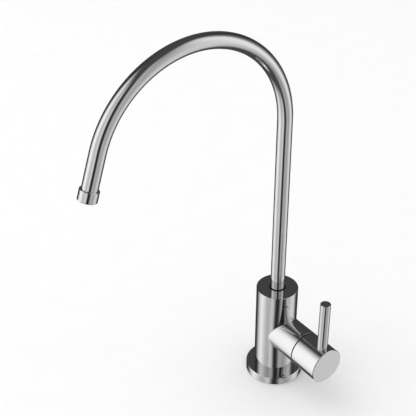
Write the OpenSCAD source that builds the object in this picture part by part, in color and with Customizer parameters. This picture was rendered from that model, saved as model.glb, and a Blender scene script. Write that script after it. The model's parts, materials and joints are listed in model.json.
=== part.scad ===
// Drinking water filter tap with a swivelling gooseneck spout and a quarter-turn lever.
// Millimetres, +Z up. The origin is the centre of the base, on top of the deck.
// At rest the spout points to -Y, and the side arm with its lever points to +X.

/* [Base] */
// Diameter of the flange that covers the deck hole
flange_d = 41; // [38:0.5:60]
// Thickness of the flange
flange_h = 5.8; // [4.5:0.1:10]
// Bevel of the flange's top edge
flange_bevel = 0.4; // [0.1:0.05:1.5]
// Thickness of the gasket let into the flange's underside
gasket_h = 1.6; // [1:0.1:2.5]
// Width of the metal rim outside the gasket
gasket_rim = 1.5; // [1:0.1:4]

/* [Body] */
// Diameter of the upright body
body_d = 29.3; // [27:0.1:36]
// Height of the body above the flange
body_h = 67.9; // [62:0.1:90]
// Bevel of the edges of body, hub, pin and outlet ring
edge_bevel = 0.3; // [0.1:0.05:0.8]
// Diameter of the waterway up from the shank
waterway_d = 7; // [5:0.1:8]
// Metal left between the cartridge and the spout socket
socket_floor_wall = 3; // [2:0.1:5]

/* [Side arm and lever hub] */
// Diameter of the side arm and of the lever hub
arm_d = 25.4; // [23.4:0.1:28]
// Height of the arm's axis above the flange
arm_rise = 33.1; // [27:0.1:37]
// Distance of the arm's end from the body's axis
arm_len = 31.8; // [30:0.1:44]
// Gap between the arm and the hub
hub_gap = 0.9; // [0.6:0.1:1.5]
// Bevel of the edges on both sides of that gap
gap_bevel = 0.05; // [0.05:0.05:0.4]
// Length of the hub
hub_len = 21.9; // [19:0.1:35]

/* [Lever pin] */
// Diameter of the pin
pin_d = 7.2; // [6:0.1:9]
// Height of the pin's end above the hub
pin_rise = 37.7; // [20:0.1:60]
// Distance of the pin's axis from the hub's end face
pin_inset = 5.8; // [5:0.1:8]
// Depth of the pin's seat below the top of the hub
pin_seat = 5.7; // [3:0.1:6.5]
// Thread under the pin
pin_thread_d = 5; // [4:0.5:6]

/* [Valve cartridge] */
// Diameter of the ceramic discs
disc_d = 12.6; // [11:0.1:13.6]
// Thickness of each ceramic disc
disc_h = 3; // [2:0.1:4]
// Angle the lever turns from shut to open
lever_turn = 90; // [70:1:100]
// Diameter of the spindle
spindle_d = 8; // [7:0.1:8.6]
// Length of the spindle's bearing behind the discs
neck_len = 7.6; // [6.5:0.1:12]
// Height of the nut that holds the cartridge
cartridge_nut_h = 4.3; // [3.4:0.1:7]

/* [Spout] */
// Outside diameter of the spout tube
tube_d = 10; // [8.5:0.1:12]
// Wall of the spout tube
tube_wall = 0.8; // [0.6:0.05:1.2]
// Straight length of the tube from the body's top to the bend
riser_len = 131.4; // [60:0.1:250]
// Radius of the bend at the tube's axis
bend_r = 69; // [40:0.5:120]
// Angle of the bend
bend_sweep = 162; // [90:1:180]
// Straight length of the tube from the bend to the outlet ring
tail_len = 21.5; // [8:0.1:60]
// Wall of the bush between tube and body
bush_wall = 0.85; // [0.8:0.05:2]
// Depth of the bush's top below the body's top
bush_recess = 0.5; // [0.2:0.1:2]

/* [Outlet] */
// Wall of the outlet ring round the tube
outlet_wall = 1; // [0.7:0.05:2.5]
// Length of the outlet ring
outlet_len = 7; // [6.2:0.1:14]
// Depth of the tube's end in the outlet ring
outlet_grip = 3; // [2:0.1:4]
// Depth of the outlet ring's inner lip
outlet_lip = 0.7; // [0.4:0.1:1.5]

/* [Deck fixing] */
// Diameter of the threaded shank
shank_d = 12; // [10:0.5:14]
// Length of the shank below the deck
shank_drop = 52; // [40:1:90]
// Diameter of the bore through the shank
shank_bore = 6; // [4:0.1:7]
// Thickness of the deck
deck_t = 20; // [2:1:26]
// Diameter of the rubber washer under the deck
deck_gasket_d = 32; // [24:0.5:44]
// Thickness of the rubber washer
deck_gasket_h = 3; // [1.5:0.1:5]
// Thickness of the steel washer
deck_washer_h = 1.5; // [1:0.1:3]
// Height of the lock nut
lock_nut_h = 6; // [4:0.5:9]

/* [Supply connection] */
// Outside diameter of the supply tube
supply_d = 6.35; // [6:0.05:8]
// Depth of the socket that guides the supply tube
supply_depth = 7; // [5:0.1:15]
// Wall of the inlet adaptor at its narrowest
adaptor_wall = 2.4; // [1.8:0.1:5]
// Travel of the collet that frees the supply tube
collet_travel = 1.5; // [1:0.1:2.5]

/* [Hidden] */
$fn = 96;

// Radial gaps: running fits, fixed fits, drawn-plain threads, and seals beside a moving wall
run_gap = 0.05;
fixed_gap = 0.03;
thread_gap = 0.06;
seal_gap = 0.07;
// Gaps along an axis: lapped discs, moving shoulders, and fixed ends
film = 0.02;
play = 0.2;
end_gap = 0.4;
// How far a cut reaches past the surface it opens
cut = 1;

// Heights of the body's features
body_r = body_d / 2;
body_top = flange_h + body_h;
arm_r = arm_d / 2;
arm_z = flange_h + arm_rise;

// Base: shank socket, seals and gasket
shank_r = shank_d / 2;
shank_engage = 10.5;
flat_seal_h = 1.5;
shank_top = flange_h + shank_engage;
shank_socket_top = shank_top + flat_seal_h;
flange_hole_r = shank_r + end_gap;
gasket_r = flange_d / 2 - gasket_rim;
face_ring_w = 1.4;
face_ring_r = (shank_r + body_r) / 2;

// Cartridge stack, measured along the arm from the floor of its chamber
seat_seal_h = 2;
drive_flange_h = 1.5;
stop_h = 1.5;
skirt_wall = 0.8;
skirt_gap = 0.6;
skirt_start = seat_seal_h + skirt_gap;
fixed_disc_u = seat_seal_h;
moving_disc_u = fixed_disc_u + disc_h + film;
drive_u = moving_disc_u + disc_h + play;
stop_u = drive_u + drive_flange_h + play;
neck_u = stop_u + stop_h + play;
chamber_len = neck_u + neck_len;
cap_h = 1.2;
boss_h = 2.3;
boss_end_u = chamber_len + cap_h + boss_h;

// Cartridge radii
disc_r = disc_d / 2;
skirt_bore_r = disc_r + play;
skirt_r = skirt_bore_r + skirt_wall;
flow_gap = 1.2;
chamber_r = skirt_r + flow_gap;
cap_lip = 1;
cap_r = chamber_r + cap_lip;
cap_room = 0.5;
nut_thread_r = cap_r + cap_room;
spindle_r = spindle_d / 2;
bearing_r = spindle_r + run_gap;
boss_wall = 2;
boss_r = spindle_r + boss_wall;
drive_inset = 0.1;
drive_r = disc_r - drive_inset;
seat_lip = 0.5;
seat_hole_r = waterway_d / 2 - seat_lip;

// Places along X
nut_recess = 0.5;
chamber_step_x = arm_len - nut_recess - cartridge_nut_h - cap_h;
chamber_x = chamber_step_x - chamber_len;
boss_end_x = chamber_x + boss_end_u;
hub_x = arm_len + hub_gap;
hub_end = hub_x + hub_len;
pin_x = hub_end - pin_inset;
hub_web = 1.9;
hub_socket_end = pin_x - pin_thread_d / 2 - hub_web;
spindle_end_gap = 0.1;
spindle_end = hub_socket_end - spindle_end_gap;
nut_room = 0.5;
hub_cavity_r = nut_thread_r + nut_room;
hub_cavity_h = 2.2;
hub_socket_x = hub_x + hub_cavity_h;

// Disc ports, drive key and lever stops
port_angle = 70;
port_in_r = 2.2;
port_rim = 1.3;
port_out_r = disc_r - port_rim;
port_past_r = disc_r + cut;
key_w = 2.4;
key_h = 1;
tab_w = 2.4;
stop_margin = 1.5;
lug_angle = 84;
stop_angle = 360 - lug_angle - lever_turn - 2 * stop_margin;
stop_start = lug_angle / 2 + lever_turn + stop_margin;

// Spindle grooves, clip and flats
oring_minor = 0.6;
clip_h = 0.8;
clip_groove_h = 0.7;
clip_groove_r = spindle_r - clip_groove_h;
clip_rim = 1.5;
clip_r = spindle_r + clip_rim;
clip_hold = 1.3;
clip_mouth = 2 * clip_groove_r - clip_hold;
clip_x = boss_end_x + play;
flat_depth = 0.75;
flat_half = spindle_r - flat_depth;
spindle_ring_u = neck_u + neck_len / 2;

// Lever pin and its thread
pin_r = pin_d / 2;
pin_foot = arm_r - pin_seat;
pin_thread_len = 8.5;
pin_thread_r = pin_thread_d / 2;

// Set screws
grub_d = 4;
grub_r = grub_d / 2;
grub_key_d = 2.2;
grub_key_h = 2;
grub_bevel = 0.4;
dog_r = 1.2;
dog_shoulder = 0.8;
dog_root = 0.5;
body_grub_sink = 1;
body_grub_out = body_r - body_grub_sink;
hub_grub_sink = 1.5;
hub_grub_out = arm_r - hub_grub_sink;
hub_grub_x = (hub_socket_x + hub_socket_end) / 2;

// Spout socket and the brass tail that turns in it
tube_r = tube_d / 2;
tube_bore_r = tube_r - tube_wall;
bush_bore_r = tube_r + run_gap;
socket_r = bush_bore_r + bush_wall + fixed_gap;
socket_floor = arm_z + chamber_r + socket_floor_wall;
tail_r = socket_r - run_gap;
tail_gap = 0.6;
tail_z = socket_floor + tail_gap;
tail_ring_z = [2.2, 5.6];
tail_groove_w = 1.9;
tail_groove_h = 1.36;
tail_groove_r = socket_r - tail_groove_h;
hold_groove_rise = 10;
hold_groove_z = tail_z + hold_groove_rise;
hold_groove_w = 2 * dog_r + 2 * play;
tail_h = 12.4;
tube_end_z = tail_z + tail_h;
spigot_r = tube_bore_r - fixed_gap;
spigot_len = 8;
spigot_wall = 1.2;
tail_bore_r = spigot_r - spigot_wall;
bush_z = tube_end_z + end_gap;
bush_top = body_top - bush_recess;
bend_z = body_top + riser_len;
// The straight tail is a hair thinner than the bend and starts just inside it
joint_step = 0.05;
joint_lap = 1;

// Outlet ring and what it holds, measured along the flow from the ring's upper end
outlet_r = tube_r + outlet_wall;
outlet_bore_r = tube_r + fixed_gap;
outlet_washer_h = 1;
outlet_screen_h = 0.5;
outlet_insert_u = outlet_grip + outlet_washer_h + outlet_screen_h;
outlet_insert_h = outlet_len - outlet_lip - outlet_insert_u;
outlet_mouth_r = outlet_bore_r - outlet_lip;
screen_hole_r = 0.4;
screen_rows = [0, 1.5, 2.9];
screen_row_holes = 6;
washer_lip = 0.4;
vane_w = 0.5;
vanes = 3;

// Under the deck
shank_end = -shank_drop;
shank_bevel = 0.8;
deck_washer_z = -deck_t - deck_gasket_h - deck_washer_h;
lock_nut_z = deck_washer_z - lock_nut_h;
lock_nut_wall = 3.5;
lock_nut_flats = shank_d + 2 * lock_nut_wall;
hex_bevel = 0.8;
washer_bore_r = shank_r + end_gap;
deck_washer_inset = 1;
deck_washer_r = deck_gasket_d / 2 - deck_washer_inset;

// Supply connection, from the shank's end down
supply_gap = 0.025;
supply_socket_r = supply_d / 2 + supply_gap;
adaptor_grip = 7;
adaptor_seal_z = shank_end - flat_seal_h;
adaptor_web_h = 2;
web_lip = 0.5;
supply_top = adaptor_seal_z - adaptor_web_h;
ring_seat_top = supply_top - supply_depth;
ring_seat_h = 2.4;
ring_seat_w = 1.4;
ring_seat_r = supply_socket_r + ring_seat_w;
collet_room = 6;
mouth_top = ring_seat_top - ring_seat_h - collet_room;
mouth_h = 1.5;
mouth_lip = 0.5;
mouth_r = ring_seat_r - mouth_lip;
adaptor_end = mouth_top - mouth_h;
adaptor_r = shank_r + thread_gap + adaptor_wall;
hex_rim = 0.5;
adaptor_hex = 2 * (adaptor_r + hex_rim);
adaptor_bevel = 0.6;
adaptor_hex_h = 8;
adaptor_neck_r = ring_seat_r + adaptor_wall;
collet_gap = 0.12;
collet_bore_r = supply_d / 2 + collet_gap;
collet_r = mouth_r - play / 2;
collet_bead_r = ring_seat_r - play;
collet_bead_h = 1.4;
collet_top = ring_seat_top - ring_seat_h - end_gap - collet_travel;
collet_flange_inset = 1;
collet_flange_r = adaptor_neck_r - collet_flange_inset;
collet_flange_h = 1.6;
collet_flange_top = adaptor_end - collet_travel - play;
collet_slit = 0.8;

// Shapes that several pieces share

// A flat ring standing on the XY plane
module ring(outer_r, inner_r, h) {
    difference() {
        cylinder(r = outer_r, h = h);
        translate([0, 0, -cut])
            cylinder(r = inner_r, h = h + 2 * cut);
    }
}

// A round ring of round section, centred on the XY plane
module round_ring(major_r, minor_r) {
    rotate_extrude()
        translate([major_r, 0])
            circle(r = minor_r);
}

// A round bar whose lower and upper edges can be bevelled
module bevelled_bar(r, h, low, high) {
    foot = low > 0 ? [[r - low, 0], [r, low]] : [[r, 0]];
    head = high > 0 ? [[r, h - high], [r - high, h]] : [[r, h]];
    rotate_extrude()
        polygon(concat([[0, 0]], foot, head, [[0, h]]));
}

// A flat wedge of the given angle, centred on +X and reaching out to a radius
module wedge(r, angle) {
    half = angle / 2;
    reach = r / cos(half / 2);
    polygon([
        [0, 0],
        [reach * cos(half), -reach * sin(half)],
        [reach, 0],
        [reach * cos(half), reach * sin(half)]
    ]);
}

// A hexagon bar measured across its flats, with its upper and lower corners turned off
module hex_bar(flats, h, bevel) {
    corner_r = flats / 2 / cos(30);
    intersection() {
        cylinder(r = corner_r, h = h, $fn = 6);
        bevelled_bar(corner_r, h, bevel, bevel);
    }
}

// A grub screw along +Z, with a hexagon socket in its upper end
module grub_screw(len) {
    difference() {
        bevelled_bar(grub_r - fixed_gap, len, grub_bevel, grub_bevel);
        translate([0, 0, len - grub_key_h])
            cylinder(r = grub_key_d / 2 / cos(30), h = grub_key_h + cut, $fn = 6);
    }
}

// Puts what is drawn along +Z onto the arm's axis, starting at a distance from the body's axis
module along_arm(x) {
    translate([x, 0, arm_z])
        rotate([0, 90, 0])
            children();
}

// Puts what is drawn along +Z at the end of the bend, along the flow
module along_flow(u) {
    translate([0, -bend_r, bend_z])
        rotate([bend_sweep, 0, 0])
            translate([0, bend_r, u])
                children();
}

// Base and body

// Slanted channel from the cartridge chamber up into the spout socket
module outlet_channel() {
    channel_r = 2;
    entry = [3.6, 1.2];
    exit = [2.4, 0.8];
    low = [chamber_x + entry.x, arm_z + chamber_r - entry.y];
    high = [socket_r - exit.x, socket_floor + exit.y];
    run = high - low;
    translate([low.x, 0, low.y])
        rotate([0, atan2(run.x, run.y), 0])
            cylinder(r = channel_r, h = norm(run));
}

module tap_body() {
    color("silver")
        difference() {
            union() {
                translate([0, 0, flange_h])
                    bevelled_bar(body_r, body_h, 0, edge_bevel);
                along_arm(0)
                    bevelled_bar(arm_r, arm_len, 0, gap_bevel);
            }
            translate([0, 0, socket_floor])
                cylinder(r = socket_r, h = body_top - socket_floor + cut);
            translate([0, 0, flange_h - cut])
                cylinder(r = shank_r + thread_gap, h = shank_socket_top - flange_h + cut);
            translate([0, 0, shank_socket_top - cut])
                cylinder(d = waterway_d, h = arm_z + seat_hole_r - shank_socket_top + cut);
            along_arm(0)
                cylinder(r = seat_hole_r, h = chamber_x + cut);
            along_arm(chamber_x)
                cylinder(r = chamber_r, h = arm_len);
            along_arm(chamber_step_x)
                cylinder(r = nut_thread_r, h = arm_len);
            outlet_channel();
            translate([0, 0, hold_groove_z])
                rotate([-90, 0, 0])
                    cylinder(r = grub_r, h = body_d);
            translate([0, 0, flange_h - cut])
                ring(face_ring_r + face_ring_w, face_ring_r - face_ring_w, face_ring_w + cut);
        }
}

module base_flange() {
    color("silver")
        difference() {
            bevelled_bar(flange_d / 2, flange_h, edge_bevel, flange_bevel);
            translate([0, 0, -cut])
                cylinder(r = flange_hole_r, h = flange_h + 2 * cut);
            translate([0, 0, -cut])
                cylinder(r = gasket_r, h = gasket_h + cut);
        }
}

module flange_gasket() {
    color("dimgray")
        ring(gasket_r - fixed_gap, flange_hole_r, gasket_h);
}

module body_o_ring() {
    color("black")
        translate([0, 0, flange_h + face_ring_w / 2])
            round_ring(face_ring_r, face_ring_w / 2);
}

module mounting_shank() {
    color("goldenrod")
        difference() {
            translate([0, 0, shank_end])
                bevelled_bar(shank_r, shank_top - shank_end, shank_bevel, shank_bevel);
            translate([0, 0, shank_end - cut])
                cylinder(d = shank_bore, h = shank_top - shank_end + 2 * cut);
        }
}

module shank_seal() {
    color("dimgray")
        translate([0, 0, shank_top])
            ring(shank_r, shank_bore / 2, flat_seal_h);
}

// Valve cartridge

module seat_seal() {
    color("black")
        along_arm(chamber_x)
            ring(disc_r, seat_hole_r, seat_seal_h);
}

module fixed_disc() {
    color("white")
        along_arm(chamber_x + fixed_disc_u)
            linear_extrude(disc_h)
                difference() {
                    union() {
                        circle(r = disc_r);
                        square([2 * skirt_r, tab_w], center = true);
                    }
                    for (side = [90, 270])
                        rotate(side)
                            intersection() {
                                wedge(port_past_r, port_angle);
                                difference() {
                                    circle(r = port_out_r);
                                    circle(r = port_in_r);
                                }
                            }
                }
}

module moving_disc() {
    color("ivory")
        along_arm(chamber_x + moving_disc_u)
            difference() {
                linear_extrude(disc_h)
                    difference() {
                        circle(r = disc_r);
                        for (side = [0, 180])
                            rotate(side)
                                difference() {
                                    wedge(port_past_r, port_angle);
                                    circle(r = port_in_r);
                                }
                    }
                translate([-key_w / 2, -disc_d, disc_h - key_h])
                    cube([key_w, 2 * disc_d, key_h + cut]);
            }
}

// Turned outline of the housing: skirt round the discs, neck with its seal groove, cap and boss
module housing_outline() {
    neck_r = chamber_r - run_gap;
    groove_r = neck_r - 2 * oring_minor;
    rotate_extrude()
        polygon([
            [skirt_bore_r, skirt_start],
            [skirt_r, skirt_start],
            [skirt_r, neck_u],
            [neck_r, neck_u],
            [neck_r, spindle_ring_u - oring_minor],
            [groove_r, spindle_ring_u - oring_minor],
            [groove_r, spindle_ring_u + oring_minor],
            [neck_r, spindle_ring_u + oring_minor],
            [neck_r, chamber_len],
            [cap_r, chamber_len],
            [cap_r, chamber_len + cap_h],
            [boss_r, chamber_len + cap_h],
            [boss_r, boss_end_u],
            [bearing_r, boss_end_u],
            [bearing_r, stop_u],
            [skirt_bore_r, stop_u]
        ]);
}

module cartridge_housing() {
    window_w = disc_r;
    lug_room_r = (drive_r + skirt_bore_r) / 2;
    color("goldenrod")
        along_arm(chamber_x)
            difference() {
                housing_outline();
                translate([0, 0, stop_u - cut])
                    rotate_extrude(angle = 360 - stop_angle, start = stop_start + stop_angle)
                        square([lug_room_r, stop_h + play + cut]);
                translate([-window_w / 2, -chamber_r, moving_disc_u])
                    cube([window_w, 2 * chamber_r, disc_h]);
                translate([-chamber_r, -tab_w / 2 - fixed_gap, 0])
                    cube([2 * chamber_r, tab_w + 2 * fixed_gap, fixed_disc_u + disc_h]);
            }
}

module cartridge_o_ring() {
    color("black")
        along_arm(chamber_x + spindle_ring_u)
            round_ring(chamber_r - oring_minor - run_gap / 2, oring_minor - run_gap / 2);
}

module cartridge_nut() {
    slot_w = 3;
    slot_h = 1.5;
    nut_r = nut_thread_r - thread_gap;
    color("goldenrod")
        along_arm(chamber_step_x + cap_h)
            difference() {
                ring(nut_r, boss_r + play, cartridge_nut_h);
                for (turn = [0, 90])
                    rotate(turn)
                        translate([-slot_w / 2, -nut_r - cut, cartridge_nut_h - slot_h])
                            cube([slot_w, 2 * nut_r + 2 * cut, slot_h + cut]);
            }
}

module spindle() {
    key_len = disc_r;
    color("goldenrod")
        difference() {
            union() {
                along_arm(chamber_x + drive_u)
                    cylinder(r = drive_r, h = drive_flange_h);
                along_arm(chamber_x + drive_u - key_h)
                    translate([-key_w / 2 + run_gap, -key_len, 0])
                        cube([key_w - 2 * run_gap, 2 * key_len, key_h]);
                along_arm(chamber_x + drive_u + drive_flange_h)
                    rotate_extrude(angle = lug_angle, start = -lug_angle / 2)
                        square([drive_r, stop_h]);
                along_arm(chamber_x + drive_u)
                    cylinder(r = spindle_r, h = spindle_end - chamber_x - drive_u);
            }
            along_arm(chamber_x + spindle_ring_u - oring_minor)
                ring(spindle_r + cut, spindle_r - 2 * oring_minor, 2 * oring_minor);
            along_arm(clip_x)
                ring(spindle_r + cut, clip_groove_r, clip_h);
            for (side = [-1, 1])
                translate([hub_x, -spindle_d, arm_z + side * (flat_half + spindle_r / 2) - spindle_r / 2])
                    cube([spindle_end - hub_x + cut, 2 * spindle_d, spindle_r]);
        }
}

module spindle_o_ring() {
    groove_r = spindle_r - 2 * oring_minor;
    minor_r = (bearing_r - seal_gap - groove_r) / 2;
    color("black")
        along_arm(chamber_x + spindle_ring_u)
            round_ring(groove_r + minor_r, minor_r);
}

module spindle_clip() {
    color("gray")
        along_arm(clip_x)
            difference() {
                ring(clip_r, clip_groove_r, clip_h);
                translate([0, -clip_mouth / 2, -cut])
                    cube([clip_r + cut, clip_mouth, clip_h + 2 * cut]);
            }
}

// Lever

module hub_glide_ring() {
    rim_recess = 0.7;
    sleeve_wall = 0.9;
    color("black")
        along_arm(arm_len + play / 2)
            difference() {
                union() {
                    cylinder(r = arm_r - rim_recess, h = hub_gap - play / 2);
                    cylinder(r = hub_cavity_r - fixed_gap, h = hub_gap - play / 2 + hub_cavity_h - play);
                }
                translate([0, 0, -cut])
                    cylinder(r = hub_cavity_r - sleeve_wall, h = hub_gap + hub_cavity_h + 2 * cut);
            }
}

module lever_hub() {
    color("silver")
        difference() {
            along_arm(hub_x)
                bevelled_bar(arm_r, hub_len, gap_bevel, edge_bevel);
            along_arm(hub_x - cut)
                cylinder(r = hub_cavity_r, h = hub_cavity_h + cut);
            intersection() {
                along_arm(hub_x)
                    cylinder(r = spindle_r + fixed_gap, h = hub_socket_end - hub_x);
                translate([hub_x, -spindle_d, arm_z - flat_half - fixed_gap])
                    cube([hub_len, 2 * spindle_d, 2 * (flat_half + fixed_gap)]);
            }
            translate([hub_grub_x, 0, arm_z - arm_d])
                cylinder(r = grub_r, h = arm_d);
            translate([pin_x, 0, arm_z + pin_foot])
                cylinder(r = pin_r + fixed_gap, h = arm_d);
            translate([pin_x, 0, arm_z + pin_foot - pin_thread_len - cut])
                cylinder(r = pin_thread_r + thread_gap, h = pin_thread_len + 2 * cut);
        }
}

module lever_pin() {
    color("silver")
        translate([pin_x, 0, arm_z + pin_foot]) {
            bevelled_bar(pin_r, arm_r - pin_foot + pin_rise, 0, edge_bevel);
            translate([0, 0, -pin_thread_len])
                cylinder(r = pin_thread_r, h = pin_thread_len);
        }
}

module lever_set_screw() {
    color("gray")
        translate([hub_grub_x, 0, arm_z - flat_half])
            mirror([0, 0, 1])
                grub_screw(hub_grub_out - flat_half);
}

// Spout

module spout_bush() {
    color("black")
        translate([0, 0, bush_z])
            ring(socket_r - fixed_gap, bush_bore_r, bush_top - bush_z);
}

module spout_set_screw() {
    screw_in = socket_r + dog_shoulder;
    dog_end = tail_groove_r + end_gap;
    color("gray")
        translate([0, 0, hold_groove_z])
            rotate([-90, 0, 0]) {
                translate([0, 0, screw_in])
                    grub_screw(body_grub_out - screw_in);
                translate([0, 0, dog_end])
                    cylinder(r = dog_r, h = screw_in - dog_end + dog_root);
            }
}

// The spout's path as a solid bar of the given radius
module spout_path(r) {
    translate([0, 0, tube_end_z])
        cylinder(r = r, h = bend_z - tube_end_z);
    translate([0, -bend_r, bend_z])
        rotate([90, 0, 90])
            rotate_extrude(angle = bend_sweep)
                translate([bend_r, 0])
                    circle(r = r);
    along_flow(-joint_lap)
        cylinder(r = r - joint_step, h = joint_lap + tail_len + outlet_grip);
}

module spout_tube() {
    color("silver")
        difference() {
            spout_path(tube_r);
            spout_path(tube_bore_r);
        }
}

module spout_tail() {
    color("goldenrod")
        translate([0, 0, tail_z])
            difference() {
                union() {
                    cylinder(r = tail_r, h = tail_h);
                    cylinder(r = spigot_r, h = tail_h + spigot_len);
                }
                translate([0, 0, -cut])
                    cylinder(r = tail_bore_r, h = tail_h + spigot_len + 2 * cut);
                for (z = tail_ring_z)
                    translate([0, 0, z - tail_groove_w / 2])
                        ring(tail_r + cut, tail_groove_r, tail_groove_w);
                translate([0, 0, hold_groove_z - tail_z - hold_groove_w / 2])
                    ring(tail_r + cut, tail_groove_r, hold_groove_w);
            }
}

module spout_o_rings() {
    minor_r = (socket_r - seal_gap - tail_groove_r) / 2;
    color("black")
        for (z = tail_ring_z)
            translate([0, 0, tail_z + z])
                round_ring(tail_groove_r + minor_r, minor_r);
}

// Outlet

module outlet_ring() {
    color("silver")
        along_flow(tail_len)
            difference() {
                bevelled_bar(outlet_r, outlet_len, edge_bevel, edge_bevel);
                translate([0, 0, -cut])
                    cylinder(r = outlet_bore_r, h = outlet_len - outlet_lip + cut);
                cylinder(r = outlet_mouth_r, h = outlet_len + cut);
            }
}

module outlet_washer() {
    color("black")
        along_flow(tail_len + outlet_grip)
            ring(tube_r, tube_bore_r - washer_lip, outlet_washer_h);
}

module outlet_screen() {
    color("gray")
        along_flow(tail_len + outlet_grip + outlet_washer_h)
            difference() {
                cylinder(r = tube_r, h = outlet_screen_h);
                for (row = [0 : len(screen_rows) - 1])
                    let (holes = max(1, screen_row_holes * row))
                        for (step = [0 : holes - 1])
                            rotate(step * 360 / holes)
                                translate([screen_rows[row], 0, -cut])
                                    cylinder(r = screen_hole_r, h = outlet_screen_h + 2 * cut);
            }
}

module outlet_insert() {
    rim_w = 0.9;
    color("whitesmoke")
        along_flow(tail_len + outlet_insert_u) {
            ring(tube_r, tube_r - rim_w, outlet_insert_h);
            for (vane = [0 : vanes - 1])
                rotate(vane * 180 / vanes)
                    translate([-tube_r + rim_w / 2, -vane_w / 2, 0])
                        cube([2 * tube_r - rim_w, vane_w, outlet_insert_h]);
        }
}

// Under the deck

module deck_gasket() {
    color("black")
        translate([0, 0, -deck_t - deck_gasket_h])
            ring(deck_gasket_d / 2, washer_bore_r, deck_gasket_h);
}

module deck_washer() {
    color("silver")
        translate([0, 0, deck_washer_z])
            ring(deck_washer_r, washer_bore_r, deck_washer_h);
}

module lock_nut() {
    color("goldenrod")
        translate([0, 0, lock_nut_z])
            difference() {
                hex_bar(lock_nut_flats, lock_nut_h, hex_bevel);
                translate([0, 0, -cut])
                    cylinder(r = shank_r + thread_gap, h = lock_nut_h + 2 * cut);
            }
}

// Supply connection

module inlet_adaptor() {
    top = shank_end + adaptor_grip;
    hex_z = top - adaptor_hex_h;
    color("whitesmoke")
        difference() {
            union() {
                translate([0, 0, hex_z])
                    hex_bar(adaptor_hex, adaptor_hex_h, adaptor_bevel);
                translate([0, 0, supply_top])
                    cylinder(r = adaptor_r, h = hex_z - supply_top);
                translate([0, 0, adaptor_end])
                    bevelled_bar(adaptor_neck_r, supply_top - adaptor_end, edge_bevel, 0);
            }
            translate([0, 0, adaptor_seal_z])
                cylinder(r = shank_r + thread_gap, h = top - adaptor_seal_z + cut);
            translate([0, 0, supply_top - cut])
                cylinder(r = shank_bore / 2 - web_lip, h = adaptor_web_h + 2 * cut);
            translate([0, 0, ring_seat_top])
                cylinder(r = supply_socket_r, h = supply_depth);
            translate([0, 0, mouth_top])
                cylinder(r = ring_seat_r, h = ring_seat_top - mouth_top);
            translate([0, 0, adaptor_end - cut])
                cylinder(r = mouth_r, h = mouth_h + 2 * cut);
        }
}

module adaptor_seal() {
    color("dimgray")
        translate([0, 0, adaptor_seal_z])
            ring(shank_r, shank_bore / 2, flat_seal_h);
}

module tube_o_ring() {
    inner_r = supply_socket_r + run_gap;
    minor_r = (ring_seat_r - fixed_gap - inner_r) / 2;
    color("black")
        translate([0, 0, ring_seat_top - minor_r - fixed_gap])
            round_ring(inner_r + minor_r, minor_r);
}

module tube_collet() {
    bead_z = mouth_top + play / 2;
    slit_end = bead_z + collet_bead_h;
    color("lightgray")
        difference() {
            union() {
                translate([0, 0, collet_flange_top])
                    cylinder(r = collet_r, h = collet_top - collet_flange_top);
                translate([0, 0, bead_z])
                    cylinder(r = collet_bead_r, h = collet_bead_h);
                translate([0, 0, collet_flange_top - collet_flange_h])
                    bevelled_bar(collet_flange_r, collet_flange_h, edge_bevel, edge_bevel);
            }
            translate([0, 0, collet_flange_top - collet_flange_h - cut])
                cylinder(r = collet_bore_r, h = collet_top - collet_flange_top + collet_flange_h + 2 * cut);
            for (turn = [0, 90])
                rotate(turn)
                    translate([-ring_seat_r, -collet_slit / 2, slit_end])
                        cube([2 * ring_seat_r, collet_slit, collet_top - slit_end + cut]);
        }
}

tap_body();
base_flange();
flange_gasket();
body_o_ring();
mounting_shank();
shank_seal();
spout_bush();
spout_set_screw();
seat_seal();
fixed_disc();
moving_disc();
cartridge_housing();
cartridge_o_ring();
cartridge_nut();
spindle();
spindle_o_ring();
spindle_clip();
hub_glide_ring();
lever_hub();
lever_pin();
lever_set_screw();
spout_tube();
spout_tail();
spout_o_rings();
outlet_ring();
outlet_washer();
outlet_screen();
outlet_insert();
deck_gasket();
deck_washer();
lock_nut();
inlet_adaptor();
adaptor_seal();
tube_o_ring();
tube_collet();
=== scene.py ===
"""Looks of a drinking water filter tap: mirror-polished steel on a pale deck, in a soft studio."""

import json
import math

import bmesh
import bpy
from mathutils import Matrix, Vector


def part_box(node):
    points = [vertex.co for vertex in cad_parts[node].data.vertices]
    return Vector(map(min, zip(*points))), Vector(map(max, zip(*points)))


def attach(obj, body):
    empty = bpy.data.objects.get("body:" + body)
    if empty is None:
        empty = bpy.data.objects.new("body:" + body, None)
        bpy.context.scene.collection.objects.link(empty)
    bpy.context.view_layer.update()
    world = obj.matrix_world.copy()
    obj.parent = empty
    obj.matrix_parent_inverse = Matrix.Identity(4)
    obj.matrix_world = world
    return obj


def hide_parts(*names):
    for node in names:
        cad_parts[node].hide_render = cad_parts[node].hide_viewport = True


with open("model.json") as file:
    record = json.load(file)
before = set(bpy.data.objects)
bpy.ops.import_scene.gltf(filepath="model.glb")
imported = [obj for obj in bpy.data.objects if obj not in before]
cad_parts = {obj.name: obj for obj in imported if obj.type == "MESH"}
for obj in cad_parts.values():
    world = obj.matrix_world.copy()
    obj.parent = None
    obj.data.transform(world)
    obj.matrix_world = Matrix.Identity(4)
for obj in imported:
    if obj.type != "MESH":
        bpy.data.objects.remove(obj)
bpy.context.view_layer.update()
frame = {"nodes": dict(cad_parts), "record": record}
record = frame["record"]
slot_of = {part["node"]: part["material_slot"] for part in record["subparts"]}
body_of = {node: body for body, nodes in record["behaviour"]["bodies"].items() for node in nodes}

# The photograph's camera, in metres and degrees
PHOTO_PIXELS = 416
FOCAL_PIXELS = 960.6
SENSOR_MM = 36.0
CAMERA_AT = Vector((0.4045, -0.3553, 0.48615))
CAMERA_AIM = Vector((-0.033, -0.036, 0.136))
CAMERA_ROLL = -0.2
CAMERA_CLIP = (0.01, 50.0)

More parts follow.
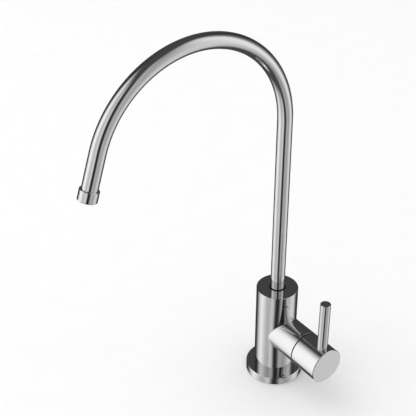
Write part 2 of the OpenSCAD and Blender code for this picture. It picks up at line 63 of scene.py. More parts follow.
# How finely round shapes are cut, from which angle an edge stays sharp, and how near points are merged
ROUND_STEPS = 192
SMALL_ROUND_STEPS = 96
THREAD_STEPS = 64
BEND_STEPS = 144
CURVE_STEPS = 5
SHARP_ANGLE = math.radians(22)
CAD_SHARP_ANGLE = math.radians(38)
MERGE = 1e-6

# Sizes that the boxes of the frame don't give, in metres
EDGE_BEVEL = 0.0003
FLANGE_BEVEL = 0.0004
GAP_BEVEL = 0.00005
SOFT_ROUND = 0.0002
GASKET_ROUND = 0.0004
JOINT_ROUND = 0.0005
JOINT_SLACK = 0.00002
JOINT_MERGE = 0.00012
FIXED_GAP = 0.00003
RUN_GAP = 0.00005
THREAD_GAP = 0.00006
END_GAP = 0.0001
RIM_GAP = 0.0004
CUT = 0.001
BEND_RADIUS = 0.069
BEND_SWEEP = math.radians(162)
TAIL_LENGTH = 0.0215
OUTLET_GRIP = 0.003
OUTLET_LENGTH = 0.007
OUTLET_LIP = 0.0007
TUBE_WALL = 0.0008
PIN_SEAT = 0.0057
PIN_THREAD_RADIUS = 0.0025
SOCKET_FLOOR_GAP = 0.0006
WATERWAY_RADIUS = 0.0035
SEAT_HOLE_RADIUS = 0.003
CAP_HEIGHT = 0.0012
CHANNEL_RADIUS = 0.002
CHANNEL_ENTRY = (0.0036, -0.0012)
CHANNEL_EXIT = (-0.0024, 0.0008)
HUB_ROOM = 0.0005
HUB_CAVITY_DEPTH = 0.0022
GLIDE_WALL = 0.0009
SPINDLE_RADIUS = 0.004
SPINDLE_FLAT = 0.00325
GRUB_RADIUS = 0.002
GRUB_KEY_FLATS = 0.0022
GRUB_KEY_DEPTH = 0.002
GRUB_BEVEL = 0.0004
DOG_RADIUS = 0.0012
DOG_BEVEL = 0.0002
DOG_SHOULDER = 0.0008
SHANK_BEVEL = 0.0008
SHANK_BORE_RADIUS = 0.003
NUT_BEVEL = 0.0008
SHANK_PITCH = 0.00175
PIN_PITCH = 0.0008
GRUB_PITCH = 0.0007

# Form of a thread as shares of its pitch: its depth, and where root and crest begin and end
THREAD_DEPTH = 0.6134
THREAD_ROOT = (0.0, 0.25)
THREAD_CREST = (0.5625, 0.6875)
SPARE_TURNS = 2

# Sizes read from the frame
flange_low, flange_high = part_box("base_flange")
gasket_low, gasket_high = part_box("flange_gasket")
face_ring_low, face_ring_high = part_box("body_o_ring")
body_low, body_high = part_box("tap_body")
hub_low, hub_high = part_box("lever_hub")
pin_low, pin_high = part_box("lever_pin")
tube_low, tube_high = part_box("spout_tube")
tail_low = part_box("spout_tail")[0]
ring_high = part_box("outlet_ring")[1]
bush_low, bush_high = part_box("spout_bush")
glide_low, glide_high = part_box("hub_glide_ring")
shank_low, shank_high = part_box("mounting_shank")
shank_seal_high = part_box("shank_seal")[1]
seat_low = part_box("seat_seal")[0]
neck_ring_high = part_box("cartridge_o_ring")[1]
nut_low, nut_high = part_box("cartridge_nut")
spindle_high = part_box("spindle")[1]
body_grub_low, body_grub_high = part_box("spout_set_screw")
hub_grub_low, hub_grub_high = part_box("lever_set_screw")
lock_low, lock_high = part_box("lock_nut")
washer_low, washer_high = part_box("deck_washer")
rubber_low, rubber_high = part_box("deck_gasket")
body_radius = body_high.y
arm_radius = hub_high.y
arm_height = (hub_low.z + hub_high.z) / 2
pin_radius = pin_high.y
pin_x = (pin_low.x + pin_high.x) / 2
pin_foot = arm_height + arm_radius - PIN_SEAT
tube_radius = tube_high.x
bend_height = tube_high.z - BEND_RADIUS - tube_radius
outlet_radius = ring_high.x
socket_radius = bush_high.x + FIXED_GAP
socket_floor = tail_low.z - SOCKET_FLOOR_GAP
shank_radius = shank_high.x
deck_hole_radius = shank_radius + RIM_GAP
chamber_radius = neck_ring_high.y + RUN_GAP
nut_bore_radius = nut_high.y + THREAD_GAP
hub_cavity_radius = nut_bore_radius + HUB_ROOM
body_grub_height = (body_grub_low.z + body_grub_high.z) / 2
hub_grub_x = (hub_grub_low.x + hub_grub_high.x) / 2


# Mesh tools

def turned(points, steps=ROUND_STEPS):
    """A shape turned about Z, solid if its outline of radius and height closes on itself or on the axis."""
    bm = bmesh.new()
    verts = [bm.verts.new((radius, 0, height)) for radius, height in points]
    edges = [bm.edges.new(pair) for pair in zip(verts, verts[1:])]
    bmesh.ops.spin(bm, geom=verts + edges, cent=(0, 0, 0), axis=(0, 0, 1), angle=2 * math.pi,
                   steps=steps, use_merge=True, use_duplicate=False)
    bmesh.ops.remove_doubles(bm, verts=bm.verts, dist=MERGE)
    bmesh.ops.recalc_face_normals(bm, faces=bm.faces)
    return bm


def bar(radius, low, high, steps=ROUND_STEPS):
    return turned([(0, low), (radius, low), (radius, high), (0, high)], steps)


def bevelled_bar(radius, low, high, bevel, steps=SMALL_ROUND_STEPS):
    return turned([(0, low), (radius - bevel, low), (radius, low + bevel), (radius, high - bevel),
                   (radius - bevel, high), (0, high)], steps)


def flat_ring(outer, inner, low, high):
    return turned([(inner, low), (outer, low), (outer, high), (inner, high), (inner, low)])


def bevel_edges(bm, size, *places, steps=1):
    """Bevels the circular edges at each radius and height."""
    for radius, height in places:
        def on_edge(vert):
            return abs(vert.co.xy.length - radius) < MERGE and abs(vert.co.z - height) < MERGE
        ring = [edge for edge in bm.edges if all(on_edge(vert) for vert in edge.verts)]
        bmesh.ops.bevel(bm, geom=ring, offset=size, offset_type="OFFSET", segments=steps, profile=0.5,
                        affect="EDGES", material=-1, clamp_overlap=True)
    return bm


def round_edges(bm, size, *places):
    """Rounds the circular edges at each radius and height."""
    return bevel_edges(bm, size, *places, steps=CURVE_STEPS)


def moved(bm, matrix):
    bmesh.ops.transform(bm, matrix=matrix, verts=bm.verts)
    return bm


def shifted(bm, x):
    return moved(bm, Matrix.Translation((x, 0, 0)))


def along_arm(bm):
    """Lays what was turned about Z on the arm's axis."""
    return moved(bm, Matrix.Translation((0, 0, arm_height)) @ Matrix.Rotation(math.pi / 2, 4, "Y"))


def along_grub(bm):
    """Lays what was turned about Z on the axis of the body's set screw, towards the back."""
    return moved(bm, Matrix.Translation((0, 0, body_grub_height)) @ Matrix.Rotation(-math.pi / 2, 4, "X"))


def along_flow(bm, distance):
    """Sets what was turned about Z on the spout's axis, a distance past the end of the bend."""
    return moved(bm, Matrix.Translation((0, -BEND_RADIUS, bend_height))
                 @ Matrix.Rotation(BEND_SWEEP, 4, "X")
                 @ Matrix.Translation((0, BEND_RADIUS, distance)))


def as_object(bm, name):
    mesh = bpy.data.meshes.new(name)
    bm.to_mesh(mesh)
    bm.free()
    obj = bpy.data.objects.new(name, mesh)
    bpy.context.scene.collection.objects.link(obj)
    return obj


def combined(operation, bm, *others):
    """Joins other solids to bm, cuts them out of it or keeps what they share."""
    work = as_object(bm, "work")
    tools = [as_object(other, "tool") for other in others]
    for tool in tools:
        boolean = work.modifiers.new("combine", "BOOLEAN")
        boolean.object = tool
        boolean.operation = operation
        boolean.solver = "MANIFOLD"
    result = bmesh.new()
    result.from_object(work, bpy.context.evaluated_depsgraph_get())
    for obj in [work, *tools]:
        mesh = obj.data
        bpy.data.objects.remove(obj)
        bpy.data.meshes.remove(mesh)
    bmesh.ops.remove_doubles(result, verts=result.verts, dist=MERGE)
    return result


def cut_away(bm, place, side):
    """Saws off what lies beyond a plane and closes the cut."""
    def on_cut(vert):
        return abs((vert.co - Vector(place)).dot(Vector(side))) < MERGE

    bmesh.ops.bisect_plane(bm, geom=bm.verts[:] + bm.edges[:] + bm.faces[:], plane_co=place, plane_no=side,
                           clear_outer=True)
    rim = [edge for edge in bm.edges if edge.is_boundary and all(on_cut(vert) for vert in edge.verts)]
    bmesh.ops.holes_fill(bm, edges=rim)
    bmesh.ops.recalc_face_normals(bm, faces=bm.faces)


def threaded_bar(radius, low, high, pitch, bevel):
    """A bar with a right-hand thread of flat crests and roots, and bevelled ends."""
    root = radius - THREAD_DEPTH * pitch
    tooth = [(root, share) for share in THREAD_ROOT] + [(radius, share) for share in THREAD_CREST]
    first = math.floor(low / pitch) - SPARE_TURNS
    last = math.ceil(high / pitch) + SPARE_TURNS
    bm = bmesh.new()
    verts = []
    for turn in range(first, last):
        verts += [bm.verts.new((reach, 0, (turn + share) * pitch)) for reach, share in tooth]
    edges = [bm.edges.new(pair) for pair in zip(verts, verts[1:])]
    bmesh.ops.spin(bm, geom=verts + edges, cent=(0, 0, 0), axis=(0, 0, 1), angle=2 * math.pi,
                   dvec=(0, 0, pitch / THREAD_STEPS), steps=THREAD_STEPS,
                   use_merge=False, use_duplicate=False)
    bmesh.ops.remove_doubles(bm, verts=bm.verts, dist=MERGE)
    cut_away(bm, (0, 0, low - pitch / 2), (0, 0, -1))
    cut_away(bm, (0, 0, high + pitch / 2), (0, 0, 1))
    return combined("INTERSECT", bm, bevelled_bar(radius + MERGE, low, high, bevel))


def hex_bar(flats, low, high):
    """A hexagon bar measured across its flats, with a corner on X."""
    bm = bmesh.new()
    corner = flats / 2 / math.cos(math.pi / 6)
    bmesh.ops.create_cone(bm, cap_ends=True, segments=6, radius1=corner, radius2=corner, depth=high - low)
    return moved(bm, Matrix.Translation((0, 0, (low + high) / 2)) @ Matrix.Rotation(math.pi / 6, 4, "Z"))


def finish_piece(bm, node, sharp=SHARP_ANGLE):
    """Shades a mesh, gives it its material and lets it stand for a CAD node on the node's body."""
    for edge in bm.edges:
        edge.smooth = len(edge.link_faces) == 2 and edge.calc_face_angle() < sharp
    for face in bm.faces:
        face.smooth = True
    piece = as_object(bm, "finished_" + node)
    piece.data.materials.append(finishes[slot_of[node]])
    weighted = piece.modifiers.new("even_shading", "WEIGHTED_NORMAL")
    weighted.keep_sharp = True
    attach(piece, body_of[node])
    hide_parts(node)


# Finishes

# Where the tones and the gloss of a noise pattern begin and end to change
COLOUR_SPREAD = (0.35, 0.65)
GLOSS_SPREAD = (0.3, 0.7)


class Finish:
    """A material with the few node set-ups that the finishes share."""

    def __init__(self, name):
        self.material = bpy.data.materials.new(name)
        self.material.use_nodes = True
        self.nodes = self.material.node_tree.nodes
        self.links = self.material.node_tree.links
        self.shader = self.nodes["Principled BSDF"]
        self.where = self.nodes.new("ShaderNodeTexCoord").outputs["Object"]

    def noise(self, scale, detail, stretch=(1, 1, 1)):
        mapping = self.nodes.new("ShaderNodeMapping")
        mapping.inputs["Scale"].default_value = stretch
        self.links.new(self.where, mapping.inputs["Vector"])
        pattern = self.nodes.new("ShaderNodeTexNoise")
        pattern.inputs["Scale"].default_value = scale
        pattern.inputs["Detail"].default_value = detail
        self.links.new(mapping.outputs["Vector"], pattern.inputs["Vector"])
        return pattern.outputs["Fac"]

    def colour(self, pattern, dark, light):
        ramp = self.nodes.new("ShaderNodeValToRGB")
        for stop, position, tone in zip(ramp.color_ramp.elements, COLOUR_SPREAD, (dark, light)):
            stop.position = position
            stop.color = (*tone, 1)
        self.links.new(pattern, ramp.inputs["Fac"])
        self.links.new(ramp.outputs["Color"], self.shader.inputs["Base Color"])

    def roughness(self, pattern, low, high):
        spread = self.nodes.new("ShaderNodeMapRange")
        spread.inputs["From Min"].default_value, spread.inputs["From Max"].default_value = GLOSS_SPREAD
        spread.inputs["To Min"].default_value = low
        spread.inputs["To Max"].default_value = high
        self.links.new(pattern, spread.inputs["Value"])
        self.links.new(spread.outputs["Result"], self.shader.inputs["Roughness"])

    def bump(self, pattern, depth, strength):
        relief = self.nodes.new("ShaderNodeBump")
        relief.inputs["Strength"].default_value = strength
        relief.inputs["Distance"].default_value = depth
        self.links.new(pattern, relief.inputs["Height"])
        self.links.new(relief.outputs["Normal"], self.shader.inputs["Normal"])


def mirror_polish():
    """Polished steel with faint wiping marks in its gloss and a hair of polishing grain."""
    steel = Finish("mirror_polish")
    steel.shader.inputs["Metallic"].default_value = 1.0
    wipes = steel.noise(scale=90.0, detail=4.0)
    steel.colour(wipes, dark=(0.59, 0.59, 0.594), light=(0.605, 0.605, 0.607))
    steel.roughness(wipes, low=0.03, high=0.06)
    steel.bump(steel.noise(scale=5000.0, detail=2.0), depth=0.00002, strength=0.05)
    return steel.material


def bare_metal(name, dark, light, rough_low, rough_high):
    """Turned metal with patches of tarnish and the fine rings that the tool leaves."""
    metal = Finish(name)
    metal.shader.inputs["Metallic"].default_value = 1.0
    patches = metal.noise(scale=260.0, detail=4.0)
    metal.colour(patches, dark, light)
    metal.roughness(patches, rough_low, rough_high)
    rings = metal.noise(scale=1400.0, detail=3.0, stretch=(1, 1, 6))
    metal.bump(rings, depth=0.00003, strength=0.3)
    return metal.material


def moulded(name, dark, light, rough_low, rough_high, grain, depth):
    """Plastic, rubber or ceramic with an even fine grain from its mould."""
    matter = Finish(name)
    clouds = matter.noise(scale=350.0, detail=4.0)
    matter.colour(clouds, dark, light)
    matter.roughness(clouds, rough_low, rough_high)
    matter.bump(matter.noise(scale=grain, detail=2.0), depth, strength=0.4)
    return matter.material


finishes = {
    "polished_steel": mirror_polish(),
    "brass": bare_metal(
        "turned_brass", dark=(0.62, 0.42, 0.16), light=(0.8, 0.6, 0.28), rough_low=0.2, rough_high=0.36),
    "plain_steel": bare_metal(
        "turned_steel", dark=(0.5, 0.5, 0.51), light=(0.62, 0.62, 0.63), rough_low=0.22, rough_high=0.38),
    "black_plastic": moulded(
        "moulded_black", dark=(0.012, 0.012, 0.012), light=(0.022, 0.022, 0.023),
        rough_low=0.38, rough_high=0.5, grain=3000.0, depth=0.00003),
    "white_plastic": moulded(
        "moulded_white", dark=(0.78, 0.78, 0.76), light=(0.84, 0.84, 0.82),
        rough_low=0.26, rough_high=0.36, grain=2600.0, depth=0.00002),
    "ceramic": moulded(
        "lapped_ceramic", dark=(0.84, 0.83, 0.8), light=(0.9, 0.89, 0.86),
        rough_low=0.3, rough_high=0.42, grain=6000.0, depth=0.00001),
    "black_rubber": moulded(
        "moulded_rubber", dark=(0.016, 0.016, 0.016), light=(0.032, 0.032, 0.032),
        rough_low=0.6, rough_high=0.75, grain=2200.0, depth=0.00004),
}


# Base and body

def base_flange():
    """The cover flange, hollowed below for its gasket."""
    outer = flange_high.x
    gasket_room = gasket_high.x + FIXED_GAP
    bm = turned([
        (deck_hole_radius, gasket_high.z),
        (gasket_room, gasket_high.z),
        (gasket_room, flange_low.z),
        (outer, flange_low.z),
        (outer, flange_high.z),
        (deck_hole_radius, flange_high.z),
        (deck_hole_radius, gasket_high.z),
    ])
    bevel_edges(bm, FLANGE_BEVEL, (outer, flange_high.z))
    bevel_edges(bm, EDGE_BEVEL, (outer, flange_low.z))
    finish_piece(bm, "base_flange")


def flange_gasket():
    outer = gasket_high.x
    bm = flat_ring(outer, deck_hole_radius, gasket_low.z, gasket_high.z)
    round_edges(bm, SOFT_ROUND, (outer, gasket_low.z), (deck_hole_radius, gasket_low.z))
    finish_piece(bm, "flange_gasket")


def round_joint(bm):
    """Rounds the inner corner all round where the arm meets the upright."""
    def in_corner(vert):
        off_upright = vert.co.xy.length - body_radius
        off_arm = math.hypot(vert.co.y, vert.co.z - arm_height) - arm_radius
        return vert.co.x > 0 and abs(off_upright) < JOINT_SLACK and abs(off_arm) < JOINT_SLACK

    bmesh.ops.remove_doubles(bm, verts=[vert for vert in bm.verts if in_corner(vert)], dist=JOINT_MERGE)
    corner = [edge for edge in bm.edges if all(in_corner(vert) for vert in edge.verts)]
    bmesh.ops.bevel(bm, geom=corner, offset=JOINT_ROUND, offset_type="OFFSET", segments=CURVE_STEPS,
                    profile=0.5, affect="EDGES", material=-1)


def outlet_channel():
    """The slanted channel from the cartridge chamber up into the spout's socket."""
    low = Vector((seat_low.x + CHANNEL_ENTRY[0], 0, arm_height + chamber_radius + CHANNEL_ENTRY[1]))
    high = Vector((socket_radius + CHANNEL_EXIT[0], 0, socket_floor + CHANNEL_EXIT[1]))
    run = high - low
    slant = run.to_track_quat("Z", "Y").to_matrix().to_4x4()
    return moved(bar(CHANNEL_RADIUS, 0, run.length, SMALL_ROUND_STEPS), Matrix.Translation(low) @ slant)


def tap_body():
    """The upright body and its arm, bored for shank, water, cartridge, spout and set screw."""
    upright = bevel_edges(bar(body_radius, body_low.z, body_high.z), EDGE_BEVEL, (body_radius, body_high.z))
    arm = bevel_edges(bar(arm_radius, 0, body_high.x), GAP_BEVEL, (arm_radius, body_high.x))
    bm = combined("UNION", upright, along_arm(arm))
    round_joint(bm)
    ring_width = face_ring_high.z - face_ring_low.z
    ring_outer = face_ring_high.x + ring_width / 2
    ring_groove = flat_ring(ring_outer, ring_outer - 2 * ring_width, body_low.z - CUT, face_ring_high.z)
    spout_socket = bar(socket_radius, socket_floor, body_high.z + CUT)
    shank_socket = bar(shank_radius + THREAD_GAP, body_low.z - CUT, shank_seal_high.z)
    waterway = bar(WATERWAY_RADIUS, shank_seal_high.z - CUT, arm_height + SEAT_HOLE_RADIUS)
    seat_hole = along_arm(bar(SEAT_HOLE_RADIUS, 0, seat_low.x + CUT))
    chamber = along_arm(bar(chamber_radius, seat_low.x, body_high.x + CUT))
    nut_bore = along_arm(bar(nut_bore_radius, nut_low.x - CAP_HEIGHT, body_high.x + CUT))
    grub_hole = along_grub(bar(GRUB_RADIUS, 0, body_radius + CUT, SMALL_ROUND_STEPS))
    bores = (ring_groove, spout_socket, shank_socket, waterway, seat_hole, chamber, nut_bore,
             outlet_channel(), grub_hole)
    finish_piece(combined("DIFFERENCE", bm, *bores), "tap_body")


def mounting_shank():
    """The threaded tube below the body."""
    low, high = shank_low.z, shank_high.z
    bm = threaded_bar(shank_radius, low, high, SHANK_PITCH, SHANK_BEVEL)
    bore = bar(SHANK_BORE_RADIUS, low - CUT, high + CUT, SMALL_ROUND_STEPS)
    finish_piece(combined("DIFFERENCE", bm, bore), "mounting_shank")


def grub_screw(low, high):
    """A grub screw along Z with a hexagon socket in its upper end."""
    key = hex_bar(GRUB_KEY_FLATS, high - GRUB_KEY_DEPTH, high + CUT)
    thread = threaded_bar(GRUB_RADIUS - FIXED_GAP, low, high, GRUB_PITCH, GRUB_BEVEL)
    return combined("DIFFERENCE", thread, key)


def spout_set_screw():
    """The grub screw at the back, whose plain tip runs in the spout's groove."""
    shoulder = socket_radius + DOG_SHOULDER
    tip = bevelled_bar(DOG_RADIUS, body_grub_low.y, shoulder + DOG_RADIUS, DOG_BEVEL)
    bm = combined("UNION", grub_screw(shoulder, body_grub_high.y), tip)
    finish_piece(along_grub(bm), "spout_set_screw")


def spout_bush():
    outer = bush_high.x
    inner = tube_radius + RUN_GAP
    bm = flat_ring(outer, inner, bush_low.z, bush_high.z)
    round_edges(bm, SOFT_ROUND, (outer, bush_high.z), (inner, bush_high.z))
    finish_piece(bm, "spout_bush")


# Lever

def lever_hub():
    """The hub, bored for the cartridge's end, the flatted spindle, the pin and its set screw."""
    hub = bar(arm_radius, hub_low.x, hub_high.x)
    bevel_edges(hub, GAP_BEVEL, (arm_radius, hub_low.x))
    bevel_edges(hub, EDGE_BEVEL, (arm_radius, hub_high.x))
    cavity = along_arm(bar(hub_cavity_radius, hub_low.x - CUT, hub_low.x + HUB_CAVITY_DEPTH))
    spindle_hole = bar(SPINDLE_RADIUS + FIXED_GAP, hub_low.x, spindle_high.x + END_GAP, SMALL_ROUND_STEPS)
    for side in (-1, 1):
        cut_away(spindle_hole, (side * (SPINDLE_FLAT + FIXED_GAP), 0, 0), (side, 0, 0))
    pin_seat = bar(pin_radius + FIXED_GAP, pin_foot, arm_height + arm_radius + CUT, SMALL_ROUND_STEPS)
    pin_thread = bar(PIN_THREAD_RADIUS + THREAD_GAP, pin_low.z - CUT, pin_foot + CUT, SMALL_ROUND_STEPS)
    grub_hole = bar(GRUB_RADIUS, hub_low.z - CUT, arm_height, SMALL_ROUND_STEPS)
    bores = (cavity, along_arm(spindle_hole), shifted(pin_seat, pin_x), shifted(pin_thread, pin_x),
             shifted(grub_hole, hub_grub_x))
    finish_piece(combined("DIFFERENCE", along_arm(hub), *bores), "lever_hub")


def lever_pin():
    """The upright pin with the thread that holds it in the hub."""
    pin = bevel_edges(bar(pin_radius, pin_foot, pin_high.z), EDGE_BEVEL, (pin_radius, pin_high.z))
    thread = threaded_bar(PIN_THREAD_RADIUS, pin_low.z, pin_foot + CUT, PIN_PITCH, GRUB_BEVEL)
    finish_piece(shifted(combined("UNION", pin, thread), pin_x), "lever_pin")


def lever_set_screw():
    bm = grub_screw(-hub_grub_high.z, -hub_grub_low.z)
    moved(bm, Matrix.Translation((hub_grub_x, 0, 0)) @ Matrix.Rotation(math.pi, 4, "X"))
    finish_piece(bm, "lever_set_screw")


def hub_glide_ring():
    """The black ring in the gap between arm and hub, with its sleeve in the hub."""
    rim = glide_high.y
    inner = hub_cavity_radius - GLIDE_WALL
    sleeve = hub_cavity_radius - FIXED_GAP
    bm = turned([
        (inner, glide_low.x),
        (rim, glide_low.x),
        (rim, hub_low.x),
        (sleeve, hub_low.x),
        (sleeve, glide_high.x),
        (inner, glide_high.x),
        (inner, glide_low.x),
    ])
    round_edges(bm, SOFT_ROUND, (rim, glide_low.x))
    finish_piece(along_arm(bm), "hub_glide_ring")


# Spout

def spout_tube():
    """A circle swept round the bend, with both ends drawn out straight and a wall added inwards."""
    bm = bmesh.new()
    bmesh.ops.create_circle(bm, cap_ends=False, radius=tube_radius, segments=SMALL_ROUND_STEPS)
    bmesh.ops.translate(bm, verts=bm.verts, vec=(0, 0, bend_height))
    foot_rim = bm.edges[:]
    swept = bmesh.ops.spin(bm, geom=bm.verts[:] + foot_rim, cent=(0, -BEND_RADIUS, bend_height),
                           axis=(1, 0, 0), angle=BEND_SWEEP, steps=BEND_STEPS,
                           use_merge=False, use_duplicate=False)
    end_rim = [item for item in swept["geom_last"] if isinstance(item, bmesh.types.BMEdge)]
    flow = Matrix.Rotation(BEND_SWEEP, 3, "X") @ Vector((0, 0, 1))
    down = Vector((0, 0, tube_low.z - bend_height))
    for rim, run in ((foot_rim, down), (end_rim, flow * (TAIL_LENGTH + OUTLET_GRIP))):
        drawn = bmesh.ops.extrude_edge_only(bm, edges=rim)["geom"]
        ends = [item for item in drawn if isinstance(item, bmesh.types.BMVert)]
        bmesh.ops.translate(bm, verts=ends, vec=run)
    bmesh.ops.recalc_face_normals(bm, faces=bm.faces)
    bmesh.ops.solidify(bm, geom=bm.faces, thickness=TUBE_WALL)
    finish_piece(bm, "spout_tube")


def outlet_ring():
    """The ring at the spout's end, with the lip that holds the flow straightener."""
    bore = tube_radius + FIXED_GAP
    mouth = bore - OUTLET_LIP
    lip = OUTLET_LENGTH - OUTLET_LIP
    bm = turned([
        (bore, 0),
        (outlet_radius, 0),
        (outlet_radius, OUTLET_LENGTH),
        (mouth, OUTLET_LENGTH),
        (mouth, lip),
        (bore, lip),
        (bore, 0),
    ])
    bevel_edges(bm, EDGE_BEVEL, (outlet_radius, 0), (outlet_radius, OUTLET_LENGTH))
    round_edges(bm, SOFT_ROUND, (mouth, OUTLET_LENGTH))
    finish_piece(along_flow(bm, TAIL_LENGTH), "outlet_ring")


# Under the deck

def deck_gasket():
    outer = rubber_high.x
    bm = flat_ring(outer, deck_hole_radius, rubber_low.z, rubber_high.z)
    round_edges(bm, GASKET_ROUND, (outer, rubber_low.z), (outer, rubber_high.z))
    finish_piece(bm, "deck_gasket")


def deck_washer():
    outer = washer_high.x
    bm = flat_ring(outer, deck_hole_radius, washer_low.z, washer_high.z)
    round_edges(bm, SOFT_ROUND, (outer, washer_low.z), (outer, washer_high.z))
    finish_piece(bm, "deck_washer")


def lock_nut():
    """The hexagon nut, its corners turned off, with the shank's thread cut through it."""
    low, high = lock_low.z, lock_high.z
    corner = lock_high.x
    blank = hex_bar(2 * corner * math.cos(math.pi / 6), low, high)
    bm = combined("INTERSECT", blank, bevelled_bar(corner + MERGE, low, high, NUT_BEVEL))
    thread = threaded_bar(shank_radius + THREAD_GAP, low - CUT, high + CUT, SHANK_PITCH, GRUB_BEVEL)
    finish_piece(combined("DIFFERENCE", bm, thread), "lock_nut")


# Pieces that keep their CAD shape

def kept_shape(node):
    """A merged, smoothly shaded copy of a node."""
    bm = bmesh.new()
    bm.from_mesh(frame["nodes"][node].data)
    bmesh.ops.remove_doubles(bm, verts=bm.verts, dist=MERGE)
    finish_piece(bm, node, CAD_SHARP_ANGLE)


makers = {
    "base_flange": base_flange,
    "flange_gasket": flange_gasket,
    "tap_body": tap_body,
    "mounting_shank": mounting_shank,
    "spout_set_screw": spout_set_screw,
    "spout_bush": spout_bush,
    "lever_hub": lever_hub,
    "lever_pin": lever_pin,
    "lever_set_screw": lever_set_screw,
    "hub_glide_ring": hub_glide_ring,
    "spout_tube": spout_tube,
    "outlet_ring": outlet_ring,
    "deck_gasket": deck_gasket,
    "deck_washer": deck_washer,
    "lock_nut": lock_nut,
}
for node in frame["nodes"]:
    if node in makers:
        makers[node]()
    else:
        kept_shape(node)


# Studio

# Brightness of the walls round the tap, near the floor and higher up, by the angle in degrees from the
# camera's side to its right, with soft changes between
WALLS_BELOW = [
    (-172, 0.06), (-139, 0.03), (-89, 1.08), (-47, 0.57), (-40, 0.58), (-26, 0.79), (-22, 0.79),
    (-1, 0.02), (9, 0.02), (30, 0.53), (50, 0.42), (100, 0.87), (134, 0.03), (172, 0.06),
]
WALLS_ABOVE = [
    (-172, 0.06), (-120, 0.04), (-80, 1.15), (-38, 0.58), (-17, 0.79), (2, 0.02), (12, 0.02),
    (36, 0.5), (52, 0.41), (94, 0.93), (125, 0.13), (148, 0.03), (172, 0.06),
]
# Angles above level between which the lower walls give way to the higher ones
ABOVE_FROM = -33.0
ABOVE_TO = -22.0
# Angle above and below level that the walls reach, by the same angle round the tap
HEIGHTS = [(-40, 58), (-10, 48), (20, 48), (60, 55)]
# How much of the walls is left, by the angle past that reach
FADE = [(-32, 1.0), (-9, 0.8), (13, 0.0)]
# Angles above level between which the pale patch of floor straight below fades
PATCH_FROM = -87.0
PATCH_TO = -77.0
# Level where no wall is, and strength of the whole studio
DIM = 0.068
STUDIO_LIGHT = 1.34
CAMERA_SIDE = math.degrees(math.atan2(CAMERA_AT.y, CAMERA_AT.x))
HALF_TURN = 180.0
STRAIGHT_UP = 90.0

# Deck, the glowing sheet inside it that paints a dim reflection, backdrop and lamp, in metres and watts
DECK_RADIUS = 4.8
SHADE_DEPTH = 0.001
SHADE_FOOT_RADIUS = 0.034
BACKDROP_RADIUS = 5.0
BACKDROP_CUTS = 4
BACKDROP_LIGHT = 0.87
LAMP_AT = Vector((-0.6, -0.8, 2.4))
LAMP_SIZE = 1.6
LAMP_POWER = 12.0


def studio_walls():
    """The room that the polish mirrors: broad pale walls at both sides, dark between, above and behind."""
    world = bpy.data.worlds.new("studio_walls")
    bpy.context.scene.world = world
    world.use_nodes = True
    nodes, links = world.node_tree.nodes, world.node_tree.links

    def sums(operation, *terms):
        step = nodes.new("ShaderNodeMath")
        step.operation = operation
        for socket, term in zip(step.inputs, terms):
            if isinstance(term, bpy.types.NodeSocket):
                links.new(term, socket)
            else:
                socket.default_value = term
        return step.outputs["Value"]

    def change(angle, start, end, kind="SMOOTHSTEP"):
        """Goes from 0 at the first angle to 1 at the second."""
        step = nodes.new("ShaderNodeMapRange")
        step.interpolation_type = kind
        step.inputs["From Min"].default_value = start
        step.inputs["From Max"].default_value = end
        links.new(angle, step.inputs["Value"])
        return step.outputs["Result"]

    def levels(angle, stops, kind, full=1.0):
        """Reads levels, as shares of full, from a list by the angle all round."""
        ramp = nodes.new("ShaderNodeValToRGB")
        ramp.color_ramp.interpolation = kind
        while len(ramp.color_ramp.elements) < len(stops):
            ramp.color_ramp.elements.new(0.5)
        for element, (position, level) in zip(ramp.color_ramp.elements, stops):
            element.position = (position + HALF_TURN) / (2 * HALF_TURN)
            element.color = (level / full, level / full, level / full, 1)
        links.new(change(angle, -HALF_TURN, HALF_TURN, "LINEAR"), ramp.inputs["Fac"])
        return ramp.outputs["Color"]

    split = nodes.new("ShaderNodeSeparateXYZ")
    links.new(nodes.new("ShaderNodeTexCoord").outputs["Generated"], split.inputs["Vector"])
    turn = sums("DEGREES", sums("ARCTAN2", split.outputs["Y"], split.outputs["X"]))
    side = sums("WRAP", sums("SUBTRACT", turn, CAMERA_SIDE), HALF_TURN, -HALF_TURN)
    rise = sums("DEGREES", sums("ARCSINE", split.outputs["Z"]))
    below, above = (levels(side, walls, "EASE") for walls in (WALLS_BELOW, WALLS_ABOVE))
    lifted = change(rise, ABOVE_FROM, ABOVE_TO, "LINEAR")
    walls = sums("MULTIPLY_ADD", sums("SUBTRACT", above, below), lifted, below)
    edge = sums("MULTIPLY", levels(side, HEIGHTS, "LINEAR", STRAIGHT_UP), STRAIGHT_UP)
    left = levels(sums("SUBTRACT", sums("ABSOLUTE", rise), edge), FADE, "EASE")
    room = sums("MULTIPLY_ADD", sums("SUBTRACT", walls, DIM), left, DIM)
    patch = sums("SUBTRACT", 1.0, change(rise, PATCH_FROM, PATCH_TO))
    links.new(sums("ADD", room, patch), nodes["Background"].inputs["Color"])
    nodes["Background"].inputs["Strength"].default_value = STUDIO_LIGHT


def set_stage(obj):
    """Keeps deck and backdrop out of the polish, which mirrors the studio's walls, and out of its light."""
    obj.visible_glossy = False
    obj.visible_shadow = False


def pale_deck():
    """A pale deck as thick as the clamp holds, with the tap's hole in it."""
    deck = as_object(flat_ring(DECK_RADIUS, deck_hole_radius, rubber_high.z, flange_low.z), "pale_deck")
    paint = Finish("pale_deck")
    paint.shader.inputs["Specular IOR Level"].default_value = 0.0
    clouds = paint.noise(scale=40.0, detail=4.0)
    paint.colour(clouds, dark=(0.925, 0.925, 0.925), light=(0.935, 0.935, 0.935))
    paint.roughness(clouds, low=0.8, high=0.9)
    deck.data.materials.append(paint.material)
    set_stage(deck)


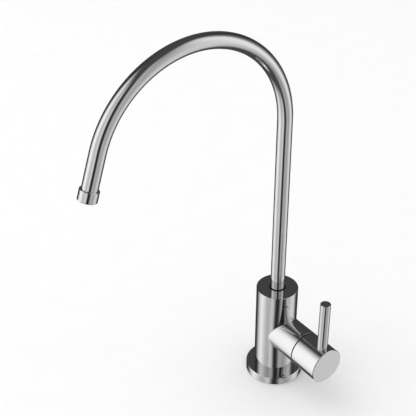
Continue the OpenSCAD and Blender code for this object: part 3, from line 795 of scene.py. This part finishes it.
def glow(name, light):
    """A material that shines evenly white."""
    material = bpy.data.materials.new(name)
    material.use_nodes = True
    nodes = material.node_tree.nodes
    shine = nodes.new("ShaderNodeEmission")
    shine.inputs["Strength"].default_value = light
    material.node_tree.links.new(shine.outputs["Emission"], nodes["Material Output"].inputs["Surface"])
    return material


def painted_dim_reflection():
    """A dimly glowing sheet inside the deck, seen only by the polish above: a painted dim reflection in
    place of what is below the deck.
    """
    shade = as_object(turned([
        (deck_hole_radius, flange_low.z - SHADE_DEPTH),
        (flange_high.x + SHADE_DEPTH, flange_low.z - SHADE_DEPTH),
        (SHADE_FOOT_RADIUS, rubber_high.z + SHADE_DEPTH),
    ]), "painted_dim_reflection")
    # Painted reflection: the sheet glows at the studio's dim level and only glossy rays from above see it
    material = glow("painted_dim_reflection", DIM * STUDIO_LIGHT)
    nodes, links = material.node_tree.nodes, material.node_tree.links
    one_sided = nodes.new("ShaderNodeMixShader")
    links.new(nodes.new("ShaderNodeNewGeometry").outputs["Backfacing"], one_sided.inputs["Fac"])
    front, back = one_sided.inputs[1:]
    links.new(nodes["Emission"].outputs["Emission"], front)
    links.new(nodes.new("ShaderNodeBsdfTransparent").outputs["BSDF"], back)
    links.new(one_sided.outputs["Shader"], nodes["Material Output"].inputs["Surface"])
    shade.data.materials.append(material)
    shade.visible_camera = False
    shade.visible_diffuse = False
    shade.visible_shadow = False


def white_backdrop():
    """A plain white room round the deck, which lights it softly from all sides."""
    bm = bmesh.new()
    bmesh.ops.create_icosphere(bm, subdivisions=BACKDROP_CUTS, radius=BACKDROP_RADIUS)
    backdrop = as_object(bm, "white_backdrop")
    backdrop.data.materials.append(glow("white_backdrop", BACKDROP_LIGHT))
    set_stage(backdrop)


def overhead_lamp():
    """A wide lamp above, for the tap's soft shadow on the deck."""
    lamp = bpy.data.lights.new("overhead_lamp", "AREA")
    lamp.shape = "DISK"
    lamp.size = LAMP_SIZE
    lamp.energy = LAMP_POWER
    obj = bpy.data.objects.new("overhead_lamp", lamp)
    obj.location = LAMP_AT
    obj.rotation_euler = (-LAMP_AT).to_track_quat("-Z", "Y").to_euler()
    obj.visible_glossy = False
    bpy.context.scene.collection.objects.link(obj)


def photo_camera():
    camera = bpy.data.cameras.new("photo_camera")
    camera.sensor_width = SENSOR_MM
    camera.lens = FOCAL_PIXELS / PHOTO_PIXELS * SENSOR_MM
    camera.clip_start, camera.clip_end = CAMERA_CLIP
    obj = bpy.data.objects.new("photo_camera", camera)
    facing = (CAMERA_AIM - CAMERA_AT).to_track_quat("-Z", "Y").to_matrix().to_4x4()
    roll = Matrix.Rotation(math.radians(CAMERA_ROLL), 4, "Z")
    obj.matrix_world = Matrix.Translation(CAMERA_AT) @ facing @ roll
    bpy.context.scene.collection.objects.link(obj)
    bpy.context.scene.camera = obj


studio_walls()
pale_deck()
painted_dim_reflection()
white_backdrop()
overhead_lamp()
photo_camera()
bpy.context.scene.view_settings.view_transform = "Standard"
